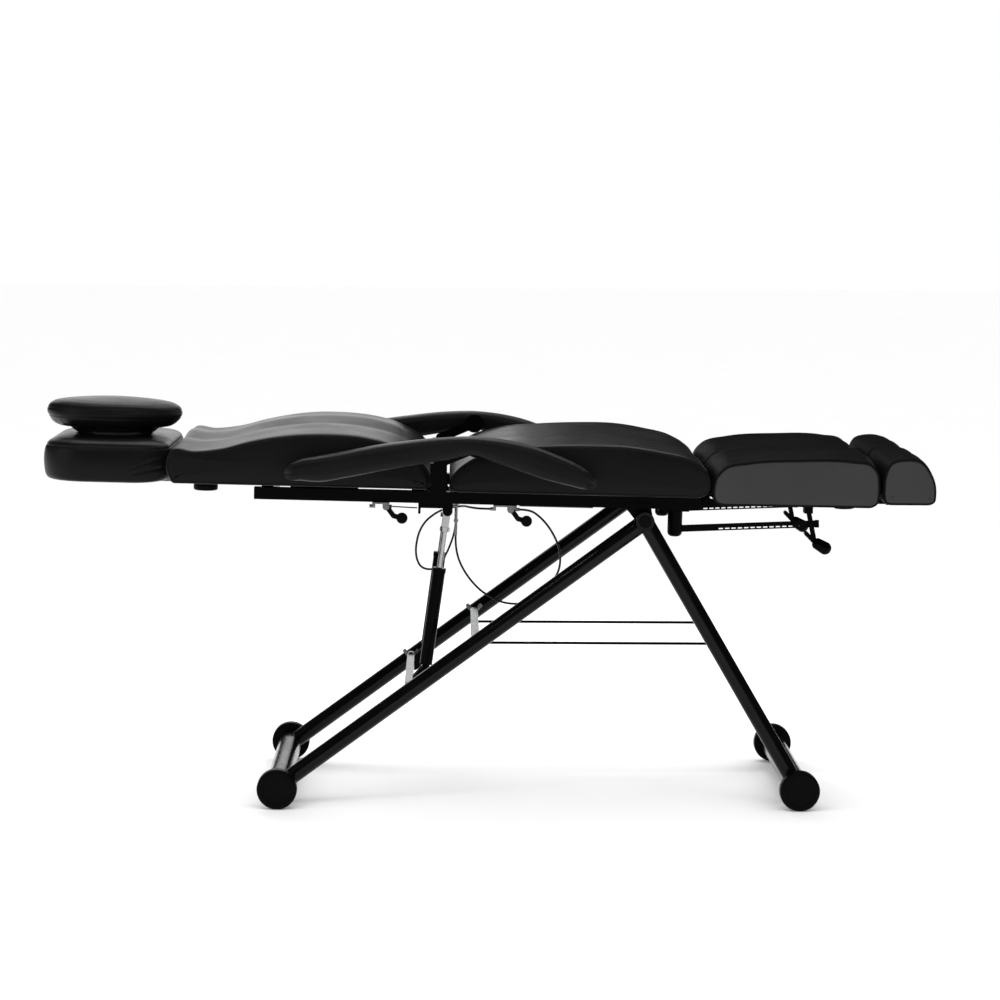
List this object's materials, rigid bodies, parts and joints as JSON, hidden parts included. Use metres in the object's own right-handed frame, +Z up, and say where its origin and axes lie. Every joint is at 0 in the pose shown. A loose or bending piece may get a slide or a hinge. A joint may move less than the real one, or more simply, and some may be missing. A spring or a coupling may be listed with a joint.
{
  "type": "reclining tattoo chair",
  "caption": "Flat-lying padded tattoo chair on an X-shaped tube stand, with a tilting bed, raising back, split dropping leg rests, swinging arm pads and a sliding face-hole head rest.",
  "frame": {"origin": "on the floor under the middle of the whole chair at rest", "axes": "+X from the head end to the foot end, +Z up, the near long side is -Y"},
  "size_m": [1.8265, 0.7348, 0.82],
  "materials": {
    "black_paint": "black powder coat",
    "zinc": "bright zinc plate",
    "chrome_rod": "polished",
    "black_plastic": "moulded",
    "cable_sheath": "smooth sheath",
    "board_wood": "black-stained plywood",
    "black_vinyl": "matt black upholstery"
  },
  "bodies": {
    "base": {"foot_tubes": "black_paint", "foot_caps": "black_plastic", "leg_head_near": "black_paint", "leg_head_far": "black_paint", "leg_toe_near": "black_paint", "leg_toe_far": "black_paint", "apex_tube": "black_paint", "apex_plugs": "black_plastic", "head_leg_crossbars": "zinc", "toe_leg_crossbar": "black_paint", "tie_rods": "black_paint", "nuts": "zinc", "spring_feet": "black_paint"},
    "tilt_frame": {"frame_tubes": "black_paint", "rail_plugs": "black_plastic", "tilt_hinge_plates": "black_paint", "spring_channels": "black_paint", "cable_adjusters": "zinc", "back_hinge_rod": "zinc", "leg_hinge_rod": "black_paint", "ladder_posts": "black_paint", "lever_brackets": "zinc", "release_wire": "zinc", "cable_near": "cable_sheath", "cable_far": "cable_sheath", "seat_board": "board_wood", "seat_cushion": "black_vinyl", "arm_brackets": "black_paint", "back_spring_cylinder": "black_paint"},
    "back_rest": {"back_frame": "black_paint", "back_board": "board_wood", "back_cushion": "black_vinyl", "head_straps": "black_paint"},
    "back_spring_rod": {"back_spring_rod": "chrome_rod"},
    "head_rest": {"head_slide_bars": "zinc", "head_block": "black_vinyl"},
    "head_pillow": {"head_pillow": "black_vinyl"},
    "head_knob": {"head_knob": "black_plastic"},
    "back_lever": {"back_lever": "black_plastic"},
    "tilt_lever": {"tilt_lever": "black_plastic"},
    "tilt_cylinder_near": {"tilt_spring_cylinder_near": "black_paint"},
    "tilt_rod_near": {"tilt_spring_rod_near": "chrome_rod"},
    "arm_near": {"arm_pad_near": "black_vinyl"},
    "leg_rest_near": {"leg_frame_near": "black_paint", "leg_cushion_near": "black_vinyl"},
    "ladder_near": {"ladder_bar_near": "black_paint"},
    "latch_near": {"leg_latch_near": "black_paint"},
    "foot_rest_near": {"foot_slide_near": "black_paint", "foot_pad_near": "black_vinyl"},
    "foot_knob_near": {"foot_knob_near": "black_plastic"},
    "tilt_cylinder_far": {"tilt_spring_cylinder_far": "black_paint"},
    "tilt_rod_far": {"tilt_spring_rod_far": "chrome_rod"},
    "arm_far": {"arm_pad_far": "black_vinyl"},
    "leg_rest_far": {"leg_frame_far": "black_paint", "leg_cushion_far": "black_vinyl"},
    "ladder_far": {"ladder_bar_far": "black_paint"},
    "latch_far": {"leg_latch_far": "black_paint"},
    "foot_rest_far": {"foot_slide_far": "black_paint", "foot_pad_far": "black_vinyl"},
    "foot_knob_far": {"foot_knob_far": "black_plastic"}
  },
  "joints": [
    {"name": "frame_tilt", "type": "hinge", "parent": "base", "child": "tilt_frame", "pos_m": [0.3295, 0, 0.5895], "axis": [0, 1, 0], "range_deg": [-11, 0]},
    {"name": "back_recline", "type": "hinge", "parent": "tilt_frame", "child": "back_rest", "pos_m": [-0.08546, 0, 0.64748], "axis": [0, 1, 0], "range_deg": [0, 52]},
    {"name": "back_spring_slide", "type": "slide", "parent": "tilt_frame", "child": "back_spring_rod", "axis": [-0.9998, 0, 0.0192], "range_m": [0, 0.03945]},
    {"name": "head_slide", "type": "slide", "parent": "back_rest", "child": "head_rest", "axis": [-0.9998, 0, 0.0192], "range_m": [0, 0.06]},
    {"name": "pillow_lift", "type": "slide", "parent": "head_rest", "child": "head_pillow", "axis": [0.0192, 0, 0.9998], "range_m": [0, 0.04]},
    {"name": "head_knob_spin", "type": "hinge", "parent": "back_rest", "child": "head_knob", "pos_m": [-0.57012, -0.12, 0.64378], "axis": [0.0192, 0, 0.9998], "continuous": true},
    {"name": "tilt_cylinder_swing_near", "type": "hinge", "parent": "base", "child": "tilt_cylinder_near", "pos_m": [-0.1165, -0.134, 0.264], "axis": [0, 1, 0], "range_deg": [0, 3.54]},
    {"name": "tilt_rod_slide_near", "type": "slide", "parent": "tilt_cylinder_near", "child": "tilt_rod_near", "axis": [0.1341, 0, 0.991], "range_m": [-0.0748, 0]},
    {"name": "arm_swing_near", "type": "hinge", "parent": "tilt_frame", "child": "arm_near", "pos_m": [-0.01461, -0.337, 0.74313], "axis": [0, 1, 0], "range_deg": [-60, 20]},
    {"name": "leg_drop_near", "type": "hinge", "parent": "tilt_frame", "child": "leg_rest_near", "pos_m": [0.45696, -0.15, 0.62806], "axis": [0, 1, 0], "range_deg": [0, 60]},
    {"name": "ladder_swing_near", "type": "hinge", "parent": "tilt_frame", "child": "ladder_near", "pos_m": [0.39362, -0.19, 0.56927], "axis": [0, 1, 0], "range_deg": [0, 49.87]},
    {"name": "latch_pull_near", "type": "hinge", "parent": "leg_rest_near", "child": "latch_near", "pos_m": [0.66596, -0.199, 0.60906], "axis": [0, 1, 0], "range_deg": [-16, 0], "stiffness_Nm_per_rad": 1.2, "springref_deg": 11.46},
    {"name": "foot_slide_near", "type": "slide", "parent": "leg_rest_near", "child": "foot_rest_near", "axis": [1, 0, 0], "range_m": [0, 0.08]},
    {"name": "foot_knob_spin_near", "type": "hinge", "parent": "leg_rest_near", "child": "foot_knob_near", "pos_m": [0.74996, -0.11, 0.61006], "axis": [0, 0, 1], "continuous": true},
    {"name": "tilt_cylinder_swing_far", "type": "hinge", "parent": "base", "child": "tilt_cylinder_far", "pos_m": [-0.1165, 0.134, 0.264], "axis": [0, 1, 0], "range_deg": [0, 3.54]},
    {"name": "tilt_rod_slide_far", "type": "slide", "parent": "tilt_cylinder_far", "child": "tilt_rod_far", "axis": [0.1341, 0, 0.991], "range_m": [-0.0748, 0]},
    {"name": "arm_swing_far", "type": "hinge", "parent": "tilt_frame", "child": "arm_far", "pos_m": [-0.01461, 0.337, 0.74313], "axis": [0, 1, 0], "range_deg": [-60, 20]},
    {"name": "leg_drop_far", "type": "hinge", "parent": "tilt_frame", "child": "leg_rest_far", "pos_m": [0.45696, 0.15, 0.62806], "axis": [0, 1, 0], "range_deg": [0, 60]},
    {"name": "ladder_swing_far", "type": "hinge", "parent": "tilt_frame", "child": "ladder_far", "pos_m": [0.39362, 0.19, 0.56927], "axis": [0, 1, 0], "range_deg": [0, 49.87]},
    {"name": "latch_pull_far", "type": "hinge", "parent": "leg_rest_far", "child": "latch_far", "pos_m": [0.66596, 0.199, 0.60906], "axis": [0, 1, 0], "range_deg": [-16, 0], "stiffness_Nm_per_rad": 1.2, "springref_deg": 11.46},
    {"name": "foot_slide_far", "type": "slide", "parent": "leg_rest_far", "child": "foot_rest_far", "axis": [1, 0, 0], "range_m": [0, 0.08]},
    {"name": "foot_knob_spin_far", "type": "hinge", "parent": "leg_rest_far", "child": "foot_knob_far", "pos_m": [0.74996, 0.11, 0.61006], "axis": [0, 0, 1], "continuous": true},
    {"name": "back_lever_pull", "type": "hinge", "parent": "tilt_frame", "child": "back_lever", "pos_m": [-0.19664, -0.205, 0.61311], "axis": [0, 1, 0], "range_deg": [-14, 0], "stiffness_Nm_per_rad": 0.6, "springref_deg": 14.32},
    {"name": "tilt_lever_pull", "type": "hinge", "parent": "tilt_frame", "child": "tilt_lever", "pos_m": [0.05731, -0.205, 0.60823], "axis": [0, 1, 0], "range_deg": [-14, 0], "stiffness_Nm_per_rad": 0.6, "springref_deg": 14.32}
  ],
  "couplings": [
    {"joint": "back_spring_slide", "follows": "back_recline", "m_per_rad": 0.043471},
    {"joint": "tilt_cylinder_swing_near", "follows": "frame_tilt", "ratio": -0.32117},
    {"joint": "tilt_rod_slide_near", "follows": "frame_tilt", "m_per_rad": 0.38889},
    {"joint": "ladder_swing_near", "follows": "leg_drop_near", "ratio": 0.831},
    {"joint": "tilt_cylinder_swing_far", "follows": "frame_tilt", "ratio": -0.32117},
    {"joint": "tilt_rod_slide_far", "follows": "frame_tilt", "m_per_rad": 0.38889},
    {"joint": "ladder_swing_far", "follows": "leg_drop_far", "ratio": 0.831}
  ]
}
